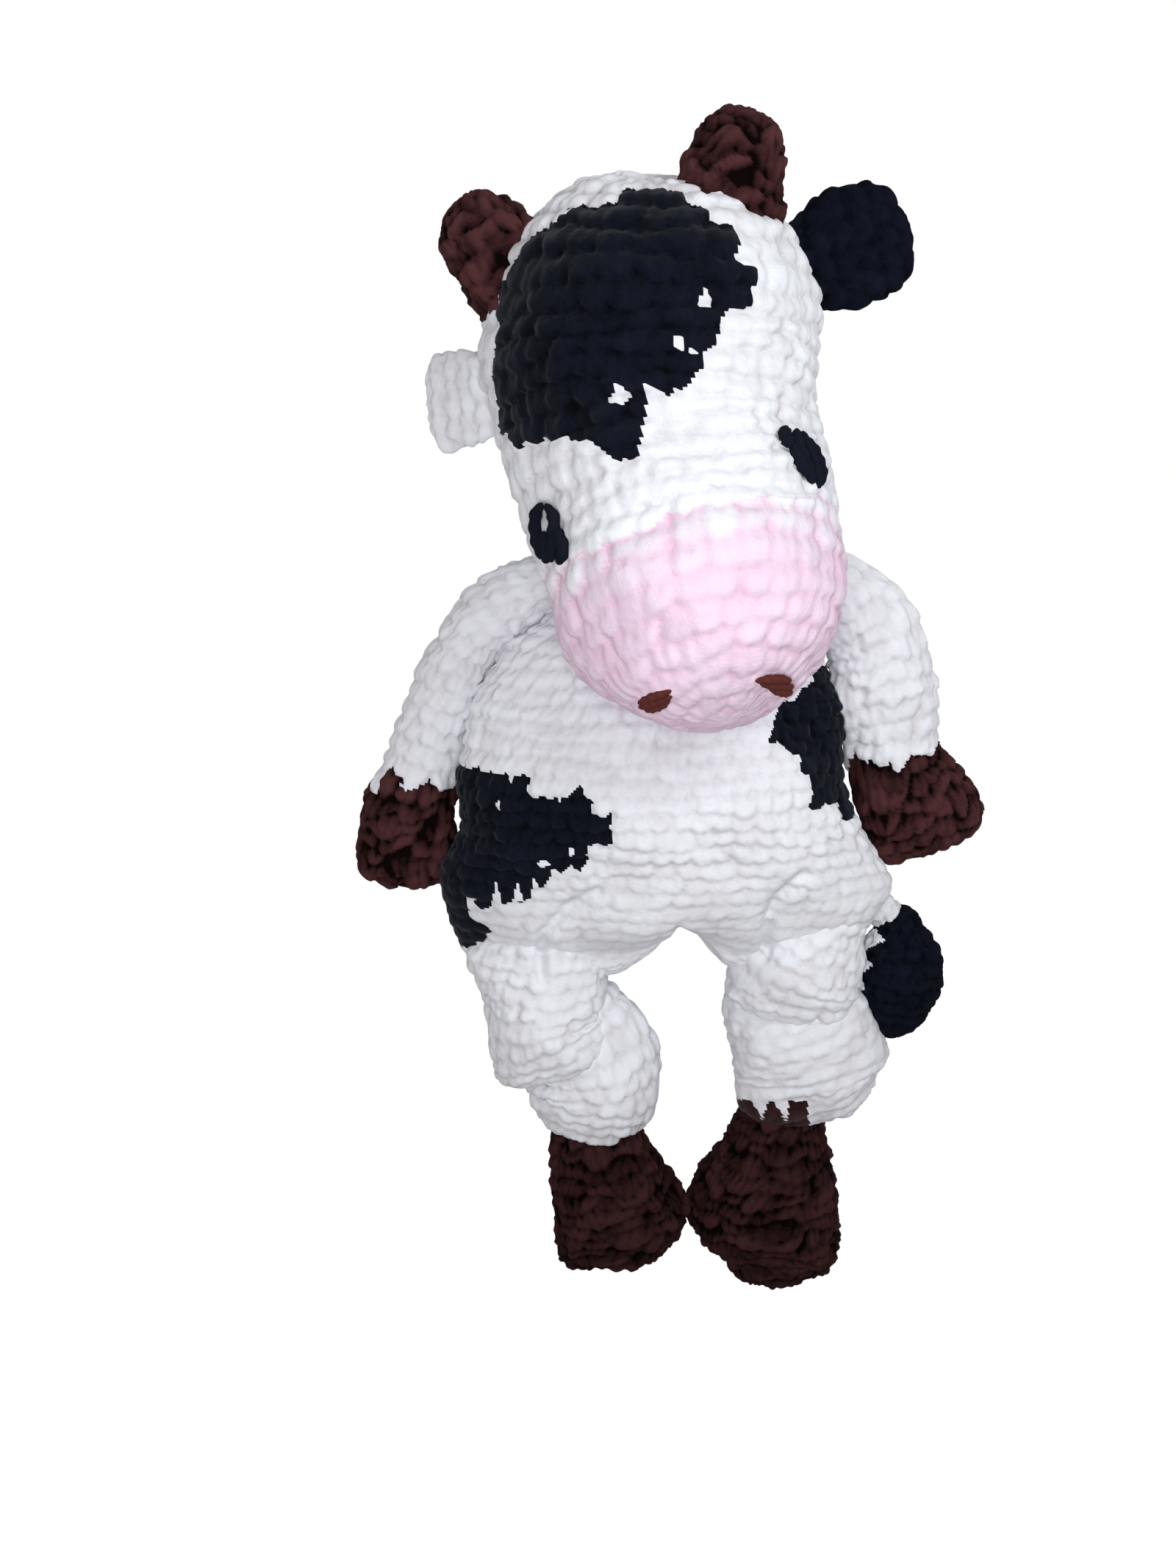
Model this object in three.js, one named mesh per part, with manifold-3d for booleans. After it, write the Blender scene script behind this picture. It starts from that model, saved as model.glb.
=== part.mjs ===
// A crocheted plush cow that lies on its back, belly up, with its muzzle on its chest.
// Millimetres. +Y points from the feet to the head, +Z up from the floor, +X to the toy's own left.
// The origin is on the floor, in the flat of the back.
import * as THREE from 'three';
import * as BufferGeometryUtils from 'three/addons/utils/BufferGeometryUtils.js';
import Module from 'manifold-3d';

const wasm = await Module();
wasm.setup();

// Clearances and yarn
const GAP = 0.3; // between pieces that touch
const REST_CUT = 0.5; // how deep the floor flattens a soft piece
const FABRIC = 7; // thickness of the crocheted wall
const OVERRUN = 2; // how far a cut runs past what it cuts
const SEAM_YARN = 2.4; // thickness of the ring of stitches that sews an arm on
const STITCHING = 2.6; // how proud an embroidered eye or nostril stands
const FACE_DEPTH = 28; // how far through the face its stitches are traced
const MOUTH = 7; // radius of the opening that a hoof or horn is stuffed through
const SIDES = 20; // points round a large form
const SMALL_SIDES = 12; // points round a small form
const SOCKET_SIDES = 20; // points round a socket
const CAP_RINGS = 4; // rings in a rounded end
const LIMB_RINGS = 3; // and between the ends of a limb, an arm and one roll of a leg
const ARM_RINGS = 4;
const SHORT_RINGS = 2;
const STEPS = 100; // short steps that a form's length is read in
const WELD = 1e-4; // points closer than this are one

// Every form runs from the middle of its rounded root to its tip, along its heading in degrees from
// +Y towards -X. Its shares are knots spread evenly on that way: of the width, of the depth, and of
// the length for how far the centre line goes sideways and up. root and tip are how far the ends
// close, rootBlunt is true where the root is a roller as wide as the form. A piece that hangs on
// another says where: alongShare of the other's length from its root, and sideShare of its half
// width to +X from the middle.
const HEAD = {
  length: 170, width: 150, depth: 144, heading: 187, root: 58, tip: 66,
  neckAlongShare: 0.5588, neckSideShare: -0.0559, middle: 5, sides: SIDES,
  widthShares: [1, 0.985, 0.95, 0.935, 0.9, 0.88], depthShares: [1, 1, 0.98, 0.95, 0.9, 0.85],
  sideShares: [0, 0, -0.015, -0.04, -0.045, -0.04], liftShares: [0, 0.003, 0.053, 0.154, 0.258, 0.305],
};
const MUZZLE = { length: 84, skew: 10 }; // pink part of the head, and how far its edge leans, in degrees
const NECK = { radius: 12, raised: 1, alongShare: 1.0233, sideShare: -0.016 };

const BODY = {
  length: 172, width: 240, depth: 78, heading: 0, at: [4.5, -64], root: 40, tip: 46,
  middle: 5, sides: SIDES, rootBlunt: true,
  widthShares: [1, 0.88, 0.8375, 0.742, 0.65, 0.54], depthShares: [0.95, 1, 0.95, 0.71, 0.43, 0.28],
  sideShares: [0, -0.03, -0.041, -0.047, -0.015, -0.02],
};
const BODY_MOUTH = 6; // radius of the opening in the neck end of the body

const ARMS = {
  right: {
    length: 107, width: 44, depth: 40, heading: 149.5, alongShare: 0.8605, sideShare: -1.032,
    widthShares: [0.818, 0.9, 1, 1, 1], depthShares: [0.9, 0.98, 1, 1, 1],
    sideShares: [0, 0.07, 0.1, 0.07, 0],
  },
  left: {
    length: 91, width: 56, depth: 40, heading: 208, alongShare: 0.8837, sideShare: 1.057,
    widthShares: [0.643, 0.78, 0.94, 1, 0.86], depthShares: [0.9, 0.98, 1, 1, 1],
    sideShares: [0, -0.05, -0.08, -0.06, 0],
  },
};
const HANDS = {
  right: {
    length: 58, width: 55, depth: 42, heading: 172, tip: 24,
    widthShares: [0.8, 0.88, 0.98, 1], depthShares: [0.905, 0.95, 1, 0.95], sideShares: [0, 0, 0, 0],
  },
  left: {
    length: 62, width: 78, depth: 42, heading: 201, tip: 22,
    widthShares: [0.64, 0.74, 0.94, 1], depthShares: [0.905, 0.95, 1, 0.95], sideShares: [0, 0, -0.02, -0.04],
  },
};
const THIGHS = {
  right: {
    length: 50, width: 90, depth: 60, heading: 188, alongShare: -0.279, sideShare: -0.5125,
    widthShares: [1, 0.92, 0.86], depthShares: [1, 1, 0.95], sideShares: [0, 0, 0],
  },
  left: {
    length: 44, width: 84, depth: 60, heading: 182, alongShare: -0.267, sideShare: 0.579,
    widthShares: [0.98, 0.94, 1], depthShares: [1, 1, 0.95], sideShares: [0, 0, 0],
  },
};
const SHINS = {
  right: {
    length: 54, width: 88, depth: 58, heading: 195,
    widthShares: [0.94, 1, 0.64], depthShares: [0.966, 1, 0.86], sideShares: [0, 0, 0],
  },
  left: {
    length: 52, width: 86, depth: 58, heading: 184,
    widthShares: [0.96, 1, 0.66], depthShares: [0.966, 1, 0.86], sideShares: [0, 0, 0],
  },
};
const FEET = {
  right: {
    length: 78, width: 77, depth: 60, heading: 190, tip: 26,
    widthShares: [0.7, 0.93, 1, 0.92], depthShares: [0.8, 0.94, 1, 0.96], sideShares: [0, -0.1, -0.093, 0.03],
  },
  left: {
    length: 96, width: 84, depth: 64, heading: 176, tip: 26,
    widthShares: [0.6, 0.9, 0.98, 0.92], depthShares: [0.75, 0.92, 1, 0.96], sideShares: [0, 0.08, 0.07, -0.02],
  },
};
// An ear or horn stands on the head at a share of the head's length, at an angle round it in degrees,
// from the toy's right side (0) over the top (90) to its left side (180)
const EARS = {
  right: { length: 46, width: 50, alongShare: 0.1, around: -9, heading: 94, pitch: -34 },
  left: { length: 46, width: 56, alongShare: -0.11, around: 184, heading: 286, pitch: 0 },
};
const EAR_SHAPE = {
  depth: 13, root: 6, tip: 24, widthShares: [0.72, 0.92, 1, 0.96], depthShares: [0.923, 1, 1, 0.9],
  sideShares: [0, 0, 0, 0],
};
const HORNS = {
  right: { alongShare: -0.18, around: 10, heading: 46, pitch: 6 },
  left: { alongShare: -0.28, around: 145, heading: 352, pitch: 6 },
};
const HORN_SHAPE = {
  length: 42, width: 44, depth: 42, root: 9, tip: 15, sunk: 12,
  widthShares: [1, 1, 0.88, 0.66], depthShares: [1, 1, 0.88, 0.66], sideShares: [0, 0, 0, 0],
};
const EYES = {
  length: 27, width: 15,
  right: { alongShare: 0.515, around: 45, lean: -8 }, left: { alongShare: 0.465, around: 137, lean: -16 },
};
const NOSTRILS = {
  length: 9, width: 16,
  right: { alongShare: 0.9, around: 64, lean: 20 }, left: { alongShare: 0.905, around: 122, lean: -16 },
};
const TAIL = {
  length: 57, width: 20, depth: 20, heading: 237.5, alongShare: 0.0233, sideShare: 0.689,
  widthShares: [0.95, 1, 1, 1], depthShares: [0.95, 1, 1, 1], sideShares: [0, 0, 0, 0],
};
const TUFT = {
  length: 58, width: 46, depth: 42, heading: 184, tip: 26,
  widthShares: [0.478, 0.9, 1, 0.9], depthShares: [0.524, 0.9, 1, 0.9], sideShares: [0, 0, 0, 0],
};

// How far each piece swings, in degrees, which its neighbour is cut clear for
const REACH = { shoulder: 70, wrist: 35, hip: 60, knee: 40, ankle: 35, tuft: 30 };

const YARN = {
  white: [0xf2f1f2, 0.95], black: [0x14151c, 0.95], pink: [0xf2cfd6, 0.95], brown: [0x4a2520, 0.95],
  nostril: [0x7a3a34, 0.9], fibre: [0xf7f7f4, 1], thread: [0xe9e8e8, 0.9],
};

const group = new THREE.Group();
const radians = THREE.MathUtils.degToRad;
const UP = new THREE.Vector3(0, 0, 1);
const FORWARD = new THREE.Vector3(0, 1, 0);

// Solids

function solid(geometry) {
  const bare = geometry.index ? geometry.toNonIndexed() : geometry.clone();
  bare.deleteAttribute('normal');
  bare.deleteAttribute('uv');
  const merged = BufferGeometryUtils.mergeVertices(bare, WELD);
  return new wasm.Manifold(new wasm.Mesh({
    numProp: 3,
    vertProperties: new Float32Array(merged.attributes.position.array),
    triVerts: new Uint32Array(merged.index.array),
  }));
}

function add(name, shape, yarn) {
  const mesh = shape.getMesh();
  const geometry = new THREE.BufferGeometry();
  geometry.setAttribute('position', new THREE.BufferAttribute(new Float32Array(mesh.vertProperties), 3));
  geometry.setIndex(new THREE.BufferAttribute(new Uint32Array(mesh.triVerts), 1));
  const [color, roughness] = YARN[yarn];
  const piece = new THREE.Mesh(geometry, new THREE.MeshStandardMaterial({ color, roughness, metalness: 0 }));
  piece.name = name;
  group.add(piece);
}

// Forms

// Smooth curve through knots that are spread evenly from 0 to 1
function between(shares, t) {
  const points = shares.map((share, i) => new THREE.Vector2(i / (shares.length - 1), share));
  return new THREE.SplineCurve(points).getPoint(THREE.MathUtils.clamp(t, 0, 1)).y;
}

const halfWidth = (form, t) => between(form.widthShares, t) * form.width / 2;
const halfDepth = (form, t) => between(form.depthShares, t) * form.depth / 2;

// How far the root closes: a limb's root is as round as it is deep
const rootOf = (form) => form.root ?? halfDepth(form, 0);

// A ball-shaped root's radius, for the socket that it turns in
const knob = (form) => Math.max(halfDepth(form, 0), halfWidth(form, 0));

function frameOf(form) {
  const [x, y, z] = form.at;
  const turn = new THREE.Matrix4().makeRotationZ(radians(form.heading));
  const pitch = new THREE.Matrix4().makeRotationX(radians(form.pitch ?? 0));
  return new THREE.Matrix4().makeTranslation(x, y, z).multiply(turn).multiply(pitch);
}

// A point of the centre line in the form's own frame, s from the middle of the root.
// A form with no shares of its own for it lies on the floor all along.
function centre(form, s) {
  const t = s / form.length;
  const side = between(form.sideShares, t) * form.length;
  const lying = halfDepth(form, t) - halfDepth(form, 0);
  const rise = form.liftShares ? between(form.liftShares, t) * form.length : lying;
  return new THREE.Vector3(side, THREE.MathUtils.clamp(s, 0, form.length), form.upright ? 0 : rise);
}

function tangent(form, s) {
  const step = form.length / STEPS;
  const low = THREE.MathUtils.clamp(s - step, 0, form.length - 2 * step);
  return centre(form, low + 2 * step).sub(centre(form, low)).normalize();
}

const spot = (form, s) => centre(form, s).applyMatrix4(frameOf(form));

// The cross-section at s: its middle, its two directions and its half sizes
function section(form, s, grow = 0) {
  const root = rootOf(form) + grow;
  const tip = (form.tip ?? 0) + grow;
  const tipStart = form.length - (form.tip ?? 0);
  const line = s > 0 ? tangent(form, s) : FORWARD.clone();
  const over = s < 0 ? s : Math.max(s - form.length, 0);
  const middle = centre(form, s).addScaledVector(line, over);
  const across = new THREE.Vector3().crossVectors(line, UP).normalize();
  const upward = form.liftShares ? new THREE.Vector3().crossVectors(across, line).normalize() : UP.clone();
  const q = s < 0 ? -s / root : (form.tip && s > tipStart ? (s - tipStart) / tip : 0);
  const close = Math.sqrt(Math.max(1 - q * q, 0));
  const wideClose = form.rootBlunt && s < 0 ? Math.sqrt(close) : close;
  const a = (halfWidth(form, s / form.length) + grow) * wideClose;
  const b = (halfDepth(form, s / form.length) + grow) * close;
  return { middle, across, upward, a, b };
}

function rim(form, s, around, grow = 0) {
  const { middle, across, upward, a, b } = section(form, s, grow);
  return middle.addScaledVector(across, a * Math.cos(around)).addScaledVector(upward, b * Math.sin(around));
}

// The closed surface of a form, grown outwards all over. Without a tip it ends square.
function swell(form, grow = 0) {
  const root = rootOf(form) + grow;
  const { length, sides } = form;
  const tip = form.tip ? form.tip + grow : 0;
  const tipStart = length - (form.tip ?? 0);
  const stations = [];
  const capTurns = Array.from({ length: CAP_RINGS - 1 }, (_, k) => ((k + 1) / CAP_RINGS) * Math.PI / 2);
  for (const turn of capTurns) stations.push(-root * Math.cos(turn));
  for (let k = 0; k <= form.middle; k += 1) stations.push((k / form.middle) * tipStart);
  for (const turn of form.tip ? capTurns : []) stations.push(tipStart + tip * Math.sin(turn));
  const turns = Array.from({ length: sides }, (_, i) => (i / sides) * 2 * Math.PI);
  const rings = stations.map((s) => turns.map((around) => rim(form, s, around, grow)));
  const rootPole = centre(form, 0).addScaledVector(FORWARD, -root);
  const tipPole = centre(form, length).addScaledVector(tangent(form, length), form.tip ? grow : 0);
  const positions = [];
  const triangle = (...corners) => corners.forEach((v) => positions.push(v.x, v.y, v.z));
  const last = rings[rings.length - 1];
  for (let i = 0; i < sides; i += 1) {
    const j = (i + 1) % sides;
    triangle(rootPole, rings[0][i], rings[0][j]);
    for (let k = 0; k < rings.length - 1; k += 1) {
      triangle(rings[k][i], rings[k + 1][j], rings[k][j]);
      triangle(rings[k][i], rings[k + 1][i], rings[k + 1][j]);
    }
    triangle(tipPole, last[j], last[i]);
  }
  const geometry = new THREE.BufferGeometry();
  geometry.setAttribute('position', new THREE.BufferAttribute(new Float32Array(positions), 3));
  geometry.applyMatrix4(frameOf(form));
  return solid(geometry);
}

// Cutters

function ball(at, radius) {
  const facets = radius / Math.cos(Math.PI / SOCKET_SIDES);
  const geometry = new THREE.SphereGeometry(facets, SOCKET_SIDES, SOCKET_SIDES / 2);
  geometry.rotateX(Math.PI / 2);
  geometry.translate(...at);
  return solid(geometry);
}

// A roller about a form's own sideways axis, for the socket that its root turns in
function roller(form, radius, length) {
  const facets = radius / Math.cos(Math.PI / SOCKET_SIDES);
  const geometry = new THREE.CylinderGeometry(facets, facets, length, SOCKET_SIDES);
  geometry.rotateZ(Math.PI / 2);
  geometry.applyMatrix4(frameOf(form));
  return solid(geometry);
}

// A block that fills the side of a point that the direction points to
function beyond(point, direction) {
  const geometry = new THREE.BoxGeometry(LIMIT, LIMIT, LIMIT);
  geometry.translate(0, 0, LIMIT / 2);
  geometry.applyQuaternion(new THREE.Quaternion().setFromUnitVectors(UP, direction.clone().normalize()));
  geometry.translate(point.x, point.y, point.z);
  return solid(geometry);
}

// An oval rod with its middle at a point, its length along a direction. Its depth leans from +Y.
function rod(point, direction, width, depth, length, lean = 0) {
  const geometry = new THREE.CylinderGeometry(1, 1, length, SMALL_SIDES);
  geometry.scale(width / 2, 1, depth / 2);
  geometry.rotateY(lean);
  const line = direction.clone().normalize();
  const level = Math.abs(line.dot(FORWARD)) > Math.abs(line.dot(UP));
  const across = new THREE.Vector3().crossVectors(line, level ? UP : FORWARD).normalize();
  const turn = new THREE.Matrix4().makeBasis(across, line, new THREE.Vector3().crossVectors(across, line));
  geometry.applyMatrix4(turn);
  geometry.translate(point.x, point.y, point.z);
  return solid(geometry);
}

const LIMIT = 2 * (HEAD.length + BODY.length + FEET.left.length);
const floor = beyond(new THREE.Vector3(0, 0, 0), UP.clone().negate());
const onFloor = (shape) => shape.subtract(floor);
const headingOf = (degrees) => new THREE.Vector3(-Math.sin(radians(degrees)), Math.cos(radians(degrees)), 0);

// The room that a hinged limb needs at its root: a roller, and its own box where it lies, half up and up
function hingeRoom(form, extra, reach) {
  const width = form.width + 2 * extra;
  const depth = form.depth + 2 * extra;
  return [0, reach / 2, reach].map((angle) => {
    const geometry = new THREE.BoxGeometry(width, form.length, depth);
    geometry.translate(0, form.length / 2, 0);
    geometry.rotateX(radians(angle));
    geometry.applyMatrix4(frameOf(form));
    return solid(geometry);
  }).reduce((sum, shape) => sum.add(shape), roller(form, depth / 2, width));
}

// Cuts the end of a limb to the roller-shaped root of what hangs on it, with room for it to bend
function socket(shape, child, reach) {
  const root = rootOf(child);
  const room = root * Math.sin(radians(reach)) + OVERRUN;
  const along = headingOf(child.heading);
  const edge = new THREE.Vector3(...child.at).addScaledVector(along, -room);
  return shape.subtract(beyond(edge, along)).subtract(roller(child, root + GAP, 2 * child.width));
}

// Lays a form on the floor, with its root in its stated place
function lay(form, extra = {}) {
  const [x, y] = form.at;
  return { ...form, ...extra, at: [x, y, halfDepth(form, 0) - REST_CUT] };
}

// Lays a limb's next piece where the limb ends
function follow(parent, child, extra = {}) {
  return lay({ ...child, at: spot(parent, parent.length).toArray() }, extra);
}

// A stuffed bag: its wall with an opening at the root, and the fibre inside it.
// Something beside it flattens it on that side, as the floor does below.
function stuffed(form, beside = () => floor) {
  const outside = onFloor(swell(form)).subtract(beside(0));
  const root = new THREE.Vector3(...form.at);
  const opening = rod(root, headingOf(form.heading), 2 * MOUTH, 2 * MOUTH, 2 * (rootOf(form) + OVERRUN));
  const half = beyond(root, headingOf(form.heading)).subtract(floor);
  const inside = swell(form, -FABRIC).subtract(beside(FABRIC));
  const fill = swell(form, -FABRIC - GAP).subtract(beside(FABRIC + GAP));
  return { wall: outside.subtract(inside).subtract(opening.subtract(half)), fill };
}

// Where the body carries what hangs on it

const body = lay(BODY);
function onBody({ alongShare, sideShare }) {
  const along = alongShare * body.length;
  return [spot(body, along).x + sideShare * halfWidth(body, alongShare), body.at[1] + along];
}
const [neckX, neckY] = onBody(NECK);
const neck = [neckX, neckY, NECK.radius + NECK.raised];

// Head, with its muzzle, ears, horns and face

const head = lay({
  ...HEAD, at: [neckX + HEAD.neckSideShare * HEAD.length, neckY + HEAD.neckAlongShare * HEAD.length],
});
const headForm = swell(head);
const headClear = swell(head, GAP);
const neckSocket = ball(neck, NECK.radius + GAP);
const onHead = ({ alongShare, around }, proud) => {
  const s = alongShare * head.length;
  const turn = radians(around);
  const place = frameOf(head);
  const at = rim(head, s, turn).applyMatrix4(place);
  const round = rim(head, s, turn + Math.PI / STEPS).applyMatrix4(place).sub(at);
  const along = rim(head, s + head.length / STEPS, turn).applyMatrix4(place).sub(at);
  const out = new THREE.Vector3().crossVectors(along, round).normalize();
  if (out.dot(at.clone().sub(spot(head, s))) < 0) out.negate();
  return { at: at.addScaledVector(out, proud), out };
};
const ears = {};
const horns = {};
for (const side of ['right', 'left']) {
  const ear = { ...EAR_SHAPE, ...EARS[side], middle: LIMB_RINGS, sides: SMALL_SIDES, rootBlunt: true, upright: true };
  ears[side] = { ...ear, at: onHead(ear, halfDepth(ear, 0) / 2).at.toArray() };
  const horn = { ...HORN_SHAPE, ...HORNS[side], middle: LIMB_RINGS, sides: SMALL_SIDES, upright: true };
  horns[side] = { ...horn, at: onHead(horn, -HORN_SHAPE.sunk).at.toArray() };
}
const headWall = onFloor(headForm).subtract(swell(head, -FABRIC)).subtract(neckSocket)
  .subtract(roller(ears.right, rootOf(ears.right) + GAP, ears.right.width + OVERRUN))
  .subtract(roller(ears.left, rootOf(ears.left) + GAP, ears.left.width + OVERRUN));
const edgeAt = spot(head, head.length - MUZZLE.length);
const faceLine = headingOf(head.heading + MUZZLE.skew);
add('head_shell', headWall.subtract(beyond(edgeAt, faceLine)), 'white');
add('muzzle_shell', headWall.intersect(beyond(edgeAt.clone().addScaledVector(faceLine, GAP), faceLine)), 'pink');
add('head_stuffing', swell(head, -FABRIC - GAP).subtract(ball(neck, NECK.radius + 2 * GAP)), 'fibre');

const proudHead = swell(head, GAP + STITCHING);
for (const side of ['right', 'left']) {
  const eye = onHead(EYES[side], 0);
  const stitches = rod(eye.at, eye.out, EYES.width, EYES.length, FACE_DEPTH, radians(EYES[side].lean));
  add(`eye_${side}`, proudHead.subtract(headClear).intersect(stitches), 'black');
  const nostril = onHead(NOSTRILS[side], 0);
  const dab = rod(nostril.at, nostril.out, NOSTRILS.width, NOSTRILS.length, FACE_DEPTH, radians(NOSTRILS[side].lean));
  add(`nostril_${side}`, proudHead.subtract(headClear).intersect(dab), 'nostril');
  const horn = horns[side];
  add(`horn_${side}`, swell(horn).subtract(swell(horn, -FABRIC)).subtract(headClear), 'brown');
  add(`horn_stuffing_${side}`, swell(horn, -FABRIC - GAP).subtract(headClear), 'fibre');
  add(`ear_${side}`, swell(ears[side]), side === 'left' ? 'black' : 'white');
}

// Body, with the neck and shoulder seams

const limb = { middle: LIMB_RINGS, sides: SMALL_SIDES };
const hinged = { ...limb, rootBlunt: true };
const arms = {};
const hands = {};
const thighs = {};
const shins = {};
const feet = {};
for (const side of ['right', 'left']) {
  arms[side] = lay({ ...ARMS[side], at: onBody(ARMS[side]) }, { ...limb, middle: ARM_RINGS });
  hands[side] = follow(arms[side], HANDS[side], hinged);
  thighs[side] = lay({ ...THIGHS[side], at: onBody(THIGHS[side]) }, { ...hinged, middle: SHORT_RINGS });
  shins[side] = follow(thighs[side], SHINS[side], { ...hinged, middle: SHORT_RINGS });
  feet[side] = follow(shins[side], FEET[side], hinged);
}
const tail = lay({ ...TAIL, at: onBody(TAIL) }, limb);
const tuft = follow(tail, TUFT, limb);

const bodyForm = onFloor(swell(body));
const seamOuter = (arm) => knob(arm) + GAP + SEAM_YARN;
const socketsIn = (extra) => [
  ball(neck, NECK.radius + GAP + extra),
  ball(arms.right.at, seamOuter(arms.right) + GAP + extra),
  ball(arms.left.at, seamOuter(arms.left) + GAP + extra),
  hingeRoom(thighs.right, 2 * GAP + extra, REACH.hip),
  hingeRoom(thighs.left, 2 * GAP + extra, REACH.hip),
  ball(tail.at, knob(tail) + GAP + extra),
].reduce((sum, shape) => sum.add(shape));
const bodyOpening = rod(
  new THREE.Vector3(...neck), FORWARD, 2 * BODY_MOUTH, 2 * BODY_MOUTH, 2 * (NECK.radius + FABRIC + OVERRUN),
);
add('body_shell', bodyForm.subtract(socketsIn(0))
  .subtract(swell(body, -FABRIC).subtract(socketsIn(FABRIC))).subtract(bodyOpening), 'white');
add('body_stuffing', swell(body, -FABRIC - GAP).subtract(socketsIn(FABRIC + GAP)), 'fibre');
add('neck_seam', onFloor(ball(neck, NECK.radius)), 'thread');

// The body, for a limb that grows out of it from a ball of the given radius
const bodyBeside = (form, radius) => swell(body, 2 * GAP).subtract(ball(form.at, radius));

// A hand rests beside the body and bends up past it: all of the hand's side of the body, told square
function besideBody(hand, hanging) {
  const home = frameOf(hand).invert();
  const edge = hanging === 'right' ? Math.PI : 0;
  const nearest = Array.from({ length: STEPS }, (_, k) => (k / STEPS) * body.length - body.root)
    .map((s) => rim(body, s, edge, 2 * GAP).applyMatrix4(frameOf(body)).applyMatrix4(home))
    .filter((point) => point.y > 0 && point.y < hand.length + OVERRUN)
    .sort((a, b) => Math.abs(a.x) - Math.abs(b.x))[0];
  const inward = new THREE.Vector3(Math.sign(nearest.x), 0, 0).transformDirection(frameOf(hand));
  const side = nearest.applyMatrix4(frameOf(hand));
  return (extra) => beyond(side.clone().addScaledVector(inward, -extra), inward);
}

// The stitches of a shoulder lie behind the arm, however far it swings out
function shoulderSeam(arm, swing) {
  const at = new THREE.Vector3(...arm.at);
  return ball(arm.at, seamOuter(arm)).subtract(ball(arm.at, knob(arm) + GAP)).intersect(bodyForm)
    .subtract(beyond(at, headingOf(arm.heading))).subtract(beyond(at, headingOf(arm.heading + swing)));
}

// Arms and hands

for (const side of ['right', 'left']) {
  const arm = arms[side];
  const hand = hands[side];
  add(`shoulder_seam_${side}`, shoulderSeam(arm, side === 'right' ? -REACH.shoulder : REACH.shoulder), 'thread');
  add(`arm_${side}`, socket(onFloor(swell(arm)).subtract(bodyBeside(arm, seamOuter(arm))), hand, REACH.wrist), 'white');
  const { wall, fill } = stuffed(hand, besideBody(hand, side));
  add(`hand_hoof_${side}`, wall, 'brown');
  add(`hand_stuffing_${side}`, fill, 'fibre');
}

// Legs and feet

for (const side of ['right', 'left']) {
  add(`thigh_${side}`, socket(onFloor(swell(thighs[side])), shins[side], REACH.knee), 'white');
  add(`shin_${side}`, socket(onFloor(swell(shins[side])), feet[side], REACH.ankle), 'white');
  const { wall, fill } = stuffed(feet[side]);
  add(`foot_hoof_${side}`, wall, 'brown');
  add(`foot_stuffing_${side}`, fill, 'fibre');
}

// Tail

const tuftRoom = knob(tuft) * Math.sin(radians(REACH.tuft)) + OVERRUN;
const tailEdge = new THREE.Vector3(...tuft.at).addScaledVector(headingOf(tuft.heading), -tuftRoom);
add('tail_cord', onFloor(swell(tail)).subtract(bodyBeside(tail, knob(tail)))
  .subtract(beyond(tailEdge, headingOf(tuft.heading))).subtract(ball(tuft.at, knob(tuft) + GAP)), 'white');
add('tail_tuft', onFloor(swell(tuft)), 'black');

// Where each piece turns, for whoever joints the toy
group.userData.pivots = {
  neck, body, ears, arms, hands, thighs, shins, feet, tail, tuft,
};

export default group;
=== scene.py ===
import math

import bmesh
import bpy
import numpy as np
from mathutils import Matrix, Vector

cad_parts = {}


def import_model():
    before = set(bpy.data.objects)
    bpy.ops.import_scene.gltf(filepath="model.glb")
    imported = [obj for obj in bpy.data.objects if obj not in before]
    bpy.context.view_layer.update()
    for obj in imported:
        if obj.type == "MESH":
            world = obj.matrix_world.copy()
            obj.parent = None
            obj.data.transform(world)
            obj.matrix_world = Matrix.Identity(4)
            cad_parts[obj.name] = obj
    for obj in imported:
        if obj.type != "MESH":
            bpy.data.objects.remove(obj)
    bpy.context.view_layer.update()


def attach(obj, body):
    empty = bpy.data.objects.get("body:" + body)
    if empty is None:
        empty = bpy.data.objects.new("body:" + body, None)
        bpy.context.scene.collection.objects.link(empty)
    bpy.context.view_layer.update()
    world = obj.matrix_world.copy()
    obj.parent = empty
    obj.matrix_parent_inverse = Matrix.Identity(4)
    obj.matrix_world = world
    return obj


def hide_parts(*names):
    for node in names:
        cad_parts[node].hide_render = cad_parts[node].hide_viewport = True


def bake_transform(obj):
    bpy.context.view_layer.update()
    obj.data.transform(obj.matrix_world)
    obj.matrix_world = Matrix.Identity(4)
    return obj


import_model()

MM = 0.001
dice = np.random.default_rng(11)  # the one source of chance, drawn from in the order of the pieces

# Camera

PHOTO = (1600, 2133)
FOCAL = 1600.0  # in pixels of the photograph
TILT = math.radians(15)
AIM = np.array([-38.0, 0.0, 58.0])
DISTANCE = 580.0
SENSOR = 36.0
EYE = AIM + DISTANCE * np.array([0, math.sin(TILT), math.cos(TILT)])
FORWARD = np.array([0, -math.sin(TILT), -math.cos(TILT)])
UPWARD = np.array([0, math.cos(TILT), -math.sin(TILT)])

lens = bpy.data.cameras.new("camera")
lens.sensor_width = SENSOR
lens.sensor_fit = "AUTO"
lens.lens = FOCAL / PHOTO[1] * SENSOR
lens.clip_start = 0.05
camera = bpy.data.objects.new("camera", lens)
camera.location = Vector(EYE * MM)
camera.rotation_euler = (-TILT, 0, 0)
bpy.context.scene.collection.objects.link(camera)
bpy.context.scene.camera = camera


def pixel(points):
    """Where points in millimetres show in the photograph."""
    away = np.asarray(points, float) - EYE
    depth = away @ FORWARD
    right = FOCAL * away[..., 0] / depth
    up = FOCAL * (away @ UPWARD) / depth
    return np.stack([PHOTO[0] / 2 + right, PHOTO[1] / 2 - up], -1)


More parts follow.
